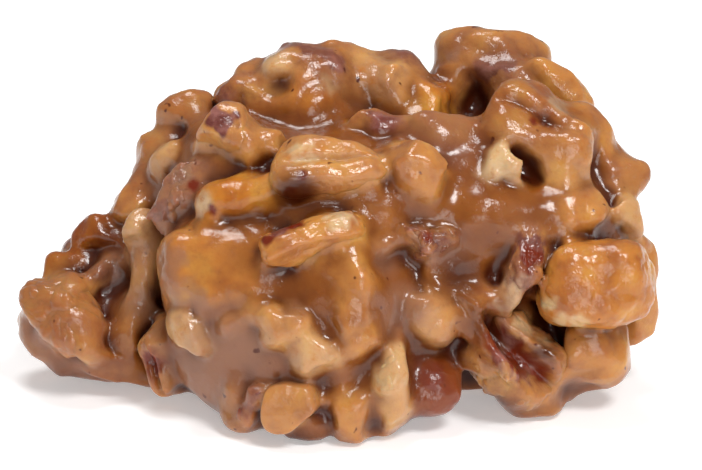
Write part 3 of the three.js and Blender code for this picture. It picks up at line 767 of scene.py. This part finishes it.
# The praline's finish: kernel colours where the caramel is thin, milky caramel where it is thick.
pralineLook = {
    "amber": (0.33, 0.085, 0.006, 1),
    "gold": (0.47, 0.157, 0.014, 1),
    "yellow": (0.56, 0.24, 0.03, 1),
    "cream": (0.7, 0.54, 0.31, 1),
    "milk": (0.28, 0.128, 0.074, 1),
    "skin": (0.13, 0.028, 0.022, 1),
    "skinPale": (0.3, 0.12, 0.1, 1),
    "red": (0.16, 0.017, 0.003, 1),
    "caramelDark": (0.19, 0.048, 0.003, 1),
    "caramelMilky": (0.258, 0.074, 0.006, 1),
    # painted shade: the colour that shut-in places darken towards
    "creviceShade": (0.06, 0.009, 0.002, 1),
    "speck": (0.10, 0.018, 0.004, 1),
    "speckRange": (0.72, 0.80),
    "goldFrom": (0.32, 0.52),  # patch noise over which amber turns to gold
    "yellowFrom": (0.5, 0.72),
    "paleMottle": (0.15, 0.5),  # mottle over which pale places show
    "skinGrain": (0.4, 0.7),
    "skinStart": 0.95,  # the higher, the less skin shows for its tint
    "skinFade": (-0.4, 0.3),  # how sharply skin ends
    "milkyFrom": (0.3, 0.7),
    "unevenCover": 0.8,  # how much the mottle thins and thickens the caramel
    "shadeFrom": 0.51,  # how shut in a place is where painted shade begins to darken it, and where it is darkest
    "shadeTo": 0.73,
    "thin": 0.0,  # millimetres of caramel through which the kernels show
    "thick": 1.6,
    "gatherFrom": 0.45,  # how shut in a flat place is
    "gather": 5.0,  # how much caramel the hollows hold and the edges lack
    "softness": 0.42,
    "softReach": (1.0, 0.42, 0.18),
    "softScale": 0.0012,
    "roughness": (0.26, 0.42),
    "haze": 0.06,
    "film": 0.8,
    "filmRoughness": 0.16,
    "patchScale": 330,  # features to a metre
    "mottleScale": 759,
    "grainScale": 700,
    "pitScale": 2600,
    "speckScale": 900,
    "grainDepth": 0.0003,
    "calm": 0.3,  # share of the ripples left on thick caramel
    "pitDepth": 0.00006,
    "sparkle": (0.48, 0.66),  # mottle over which the pits show
    "bumpStrength": 0.6,
}


def pralineFinish():
    look = pralineLook
    material, tree = newTree("glazedPraline")
    here = put(tree, "ShaderNodeTexCoord"), 3  # object coordinates

    def noise(scale, detail, roughness=0.5):
        inputs = {"Vector": here, "Scale": scale, "Detail": detail, "Roughness": roughness}
        return put(tree, "ShaderNodeTexNoise", inputs), 0

    def value(name):
        return put(tree, "ShaderNodeAttribute", attribute_name=name), 2

    patch, mottle = noise(look["patchScale"], 3), noise(look["mottleScale"], 5, 0.62)
    grain, pits = noise(look["grainScale"], 4), noise(look["pitScale"], 3)
    kernel = blendColours(tree, easeRange(tree, patch, *look["goldFrom"]), look["amber"], look["gold"])
    kernel = blendColours(tree, easeRange(tree, patch, *look["yellowFrom"]), kernel, look["yellow"])
    paleness = reckon(tree, "MULTIPLY", value("pale"), easeRange(tree, mottle, *look["paleMottle"]))
    kernel = blendColours(tree, paleness, kernel, look["cream"])
    skin = blendColours(tree, easeRange(tree, grain, *look["skinGrain"]), look["skin"], look["skinPale"])
    skinEdge = reckon(tree, "ADD", reckon(tree, "ADD", mottle, -look["skinStart"]), value("skin"))
    kernel = blendColours(tree, easeRange(tree, skinEdge, *look["skinFade"]), kernel, skin)
    milky = easeRange(tree, patch, *look["milkyFrom"])
    caramel = blendColours(tree, milky, look["caramelDark"], look["caramelMilky"])
    uneven = reckon(tree, "MULTIPLY", reckon(tree, "ADD", mottle, -0.5), look["unevenCover"])
    shut = reckon(tree, "ADD", value("shade"), -look["gatherFrom"])
    gathered = reckon(tree, "MULTIPLY", shut, look["gather"])
    depth = reckon(tree, "ADD", reckon(tree, "ADD", value("cover"), gathered), uneven)
    cloak = easeRange(tree, depth, look["thin"], look["thick"])
    colour = blendColours(tree, cloak, kernel, caramel)
    colour = blendColours(tree, value("milk"), colour, look["milk"])
    colour = blendColours(tree, value("red"), colour, look["red"])
    # Painted shade: places that are shut in darken towards the crevice shade colour.
    shade = easeRange(tree, value("shade"), look["shadeFrom"], look["shadeTo"])
    colour = blendColours(tree, shade, colour, look["creviceShade"])
    specks = easeRange(tree, noise(look["speckScale"], 1), *look["speckRange"])
    colour = blendColours(tree, specks, colour, look["speck"])
    low, high = look["roughness"]
    rough = put(tree, "ShaderNodeMapRange", {"Value": grain, "To Min": low, "To Max": high})
    bareness = put(tree, "ShaderNodeMapRange", {"Value": cloak, "To Min": 1, "To Max": look["calm"]})
    ripple = reckon(tree, "MULTIPLY", grain, bareness)
    coarse = {"Height": ripple, "Distance": look["grainDepth"], "Strength": look["bumpStrength"]}
    waves = put(tree, "ShaderNodeBump", coarse)
    sparkle = reckon(tree, "MULTIPLY", pits, easeRange(tree, mottle, *look["sparkle"]))
    fine = {"Height": sparkle, "Distance": look["pitDepth"], "Strength": look["bumpStrength"]}
    relief = put(tree, "ShaderNodeBump", {**fine, "Normal": waves})
    inputs = {
        "Base Color": colour,
        "Roughness": rough,
        "Specular IOR Level": look["haze"],
        "Subsurface Weight": look["softness"],
        "Subsurface Radius": look["softReach"],
        "Subsurface Scale": look["softScale"],
        "Coat Weight": look["film"],
        "Coat Roughness": look["filmRoughness"],
        "Normal": relief,
        "Coat Normal": relief,
    }
    shader = put(tree, "ShaderNodeBsdfPrincipled", inputs)
    put(tree, "ShaderNodeOutputMaterial", {"Surface": shader})
    return material


pralineMaterial = pralineFinish()
axes, level, cover, tint = coatLevel()
enclosed = shutIn(level)
print("coat: level worked out")


# How shut in each place is, with each painted shade patch falling off from its middle to its radius, and
# more painted shade at the foot.
def shadeOver(places):
    shade = readGrid(enclosed, places, axes)
    for x, y, z, radius, most in coat["paintedShade"]:
        gap = np.linalg.norm(places - (x, y, z), axis=1) / radius
        shade = np.maximum(shade, most - (most - coat["openShade"]) * gap)
    return shade + coat["footShade"] * np.clip(1 - places[:, 2] / coat["footHeight"], 0, 1)


def caramelCoat():
    places, quads = netOf(level, axes)
    places = settle(places, quads, level, axes)
    tintHere = readGrid(tint, places, axes)
    values = {key: tintHere[:, k].copy() for k, key in enumerate(tints)}
    values["cover"] = readGrid(cover, places, axes)
    values["cover"] += coat["pool"] * np.clip(1 - places[:, 2] / coat["poolHeight"], 0, 1)
    values["shade"] = shadeOver(places)
    # Milky caramel patches, the last one painted light that lifts a shaded hollow.
    for x, y, z, radius in coat["milkAndLightPatches"]:
        gap = np.linalg.norm(places - (x, y, z), axis=1) / radius
        share = coat["milkAndLightShare"] * np.interp(gap, coat["milkAndLightFade"], (1, 0))
        values["milk"] = np.maximum(values["milk"], share)
    paintMarks(places, values)
    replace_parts(meshPiece("caramelCoat", places, quads, values, pralineMaterial), "praline")


caramelCoat()

# Bare kernel pieces: along each direction from the middle out to where the gauge is 1, then made uneven.
bare = {
    "sectors": 120,
    "rings": 72,
    "rounds": 8,  # steps towards the gauge's skin
    "bulges": ((2.6, 0.5), (1.1, 0.22), (0.5, 0.08)),
    "groups": {
        "bareKernels": ["slab", "sliver", "purpleCap", "bigSlab", "shield", "blockGold"],
        "skinKernels": [
            "skinBits", "skinBitB", "skinShard", "skinTooth", "grooved",
            "crumbRed", "lobeFace", "heelA", "heelB",
        ],
    },
}


# Directions by angle from the length and turn about it, with one vertex at each end.
def directionGrid(rings, sectors):
    lean = np.linspace(0, math.pi, rings + 2)[1:-1, None]
    turn = np.linspace(0, 2 * math.pi, sectors, endpoint=False)[None, :]
    ring = np.stack([np.cos(lean) + 0 * turn, np.sin(lean) * np.cos(turn), np.sin(lean) * np.sin(turn)], -1)
    directions = np.concatenate([[[1, 0, 0]], ring.reshape(-1, 3), [[-1, 0, 0]]])
    here = np.arange(sectors)
    after = (here + 1) % sectors
    rows = 1 + sectors * np.arange(rings - 1)[:, None]
    sides = np.stack([rows + here, rows + here + sectors, rows + after + sectors, rows + after], -1)
    last = len(directions) - 1
    start = np.stack([0 * here, 1 + here, 1 + after, 0 * here], 1)
    end = np.stack([0 * here + last, last - sectors + after, last - sectors + here, 0 * here + last], 1)
    return directions, np.concatenate([start, sides.reshape(-1, 4), end])


def bareShape(row, directions):
    name, x, y, z, around, up, roll, length, width, thickness, seed = row
    look, turned = glazeOf(name, seed), facing(around, up, roll)
    half = np.array([length, width, thickness]) / 2
    ways = directions * half
    reach = np.ones(len(ways))
    for turn in range(bare["rounds"]):
        places = (ways * reach[:, None]) @ turned + (x, y, z)
        reach = reach / kernelGauge((bent(places) - (x, y, z)) @ turned.T, half, seed, look)
    places = (ways * reach[:, None]) @ turned + (x, y, z)
    uneven = bulging(places, bare["bulges"], seed) * look["rough"]
    outward = ways @ turned
    return places + outward * (uneven / np.linalg.norm(outward, axis=1))[:, None]


def barePieces():
    directions, faces = directionGrid(bare["rings"], bare["sectors"])
    for group, names in bare["groups"].items():
        rows = [row for row in kernels if row[0] in names]
        places = np.concatenate([bareShape(row, directions) for row in rows])
        allFaces = np.concatenate([faces + k * len(directions) for k in range(len(rows))])
        looks = [glazeOf(row[0], row[-1]) for row in rows]
        values = {key: np.repeat([float(look[key]) for look in looks], len(directions)) for key in tints}
        values["cover"] = np.zeros(len(places))
        values["shade"] = shadeOver(places)
        paintMarks(places, values)
        meshPiece(group, places, allFaces, values, pralineMaterial)


barePieces()

# A pale floor and soft light from above.
studio = {
    "floorSide": 6.0,
    "floor": (0.93, 0.93, 0.93, 1),
    "floorRoughness": 0.9,
    "floorGlow": 0.36,  # lit from under, so that its shadows stay pale
    "sky": 0.25,
    "lampAim": (0, 0, 0.014),
    "lamps": {  # place, side and power
        "keyLamp": ((0.20, -0.32, 0.50), 0.19, 2.15),
        "topLamp": ((-0.06, 0.06, 0.58), 0.22, 1.5),
        "frontFill": ((0.15, -0.7, 0.2), 0.3, 1.0),
    },
}


def studioFloor():
    half = studio["floorSide"] / 2
    mesh = bpy.data.meshes.new("studioFloor")
    corners = [(-half, -half, 0), (half, -half, 0), (half, half, 0), (-half, half, 0)]
    mesh.from_pydata(corners, [], [(0, 1, 2, 3)])
    material, tree = newTree("paleFloor")
    inputs = {"Base Color": studio["floor"], "Roughness": studio["floorRoughness"]}
    inputs |= {"Emission Color": studio["floor"], "Emission Strength": studio["floorGlow"]}
    shader = put(tree, "ShaderNodeBsdfPrincipled", inputs)
    put(tree, "ShaderNodeOutputMaterial", {"Surface": shader})
    mesh.materials.append(material)
    floor = bpy.data.objects.new("studioFloor", mesh)
    bpy.context.scene.collection.objects.link(floor)


def softLamp(name, place, side, power):
    light = bpy.data.lights.new(name, "AREA")
    light.shape = "DISK"
    light.size = side
    light.energy = power
    lamp = bpy.data.objects.new(name, light)
    lamp.location = place
    lamp.rotation_euler = (Vector(studio["lampAim"]) - Vector(place)).to_track_quat("-Z", "Y").to_euler()
    bpy.context.scene.collection.objects.link(lamp)


studioFloor()
for name, (place, side, power) in studio["lamps"].items():
    softLamp(name, place, side, power)
world = bpy.data.worlds.new("paleRoom")
world.use_nodes = True
world.node_tree.nodes["Background"].inputs["Color"].default_value = (1, 1, 1, 1)
world.node_tree.nodes["Background"].inputs["Strength"].default_value = studio["sky"]
bpy.context.scene.world = world
bpy.context.scene.view_settings.view_transform = "Standard"

# The camera looks down a little from the front, from far enough for a long lens.
eye = {"aim": (1.25, 0, 14), "distance": 380, "elevation": 20, "widthSeen": 65.8}
camera = bpy.data.cameras.new("pralineCamera")
camera.sensor_width = 36
camera.lens = camera.sensor_width * eye["distance"] / eye["widthSeen"]
cameraObject = bpy.data.objects.new("pralineCamera", camera)
slant = math.radians(eye["elevation"])
aim = Vector(eye["aim"]) * mm
cameraObject.location = aim + Vector((0, -math.cos(slant), math.sin(slant))) * eye["distance"] * mm
cameraObject.rotation_euler = (math.pi / 2 - slant, 0, 0)
bpy.context.scene.collection.objects.link(cameraObject)
bpy.context.scene.camera = cameraObject
print("studio: floor, lamps and camera")
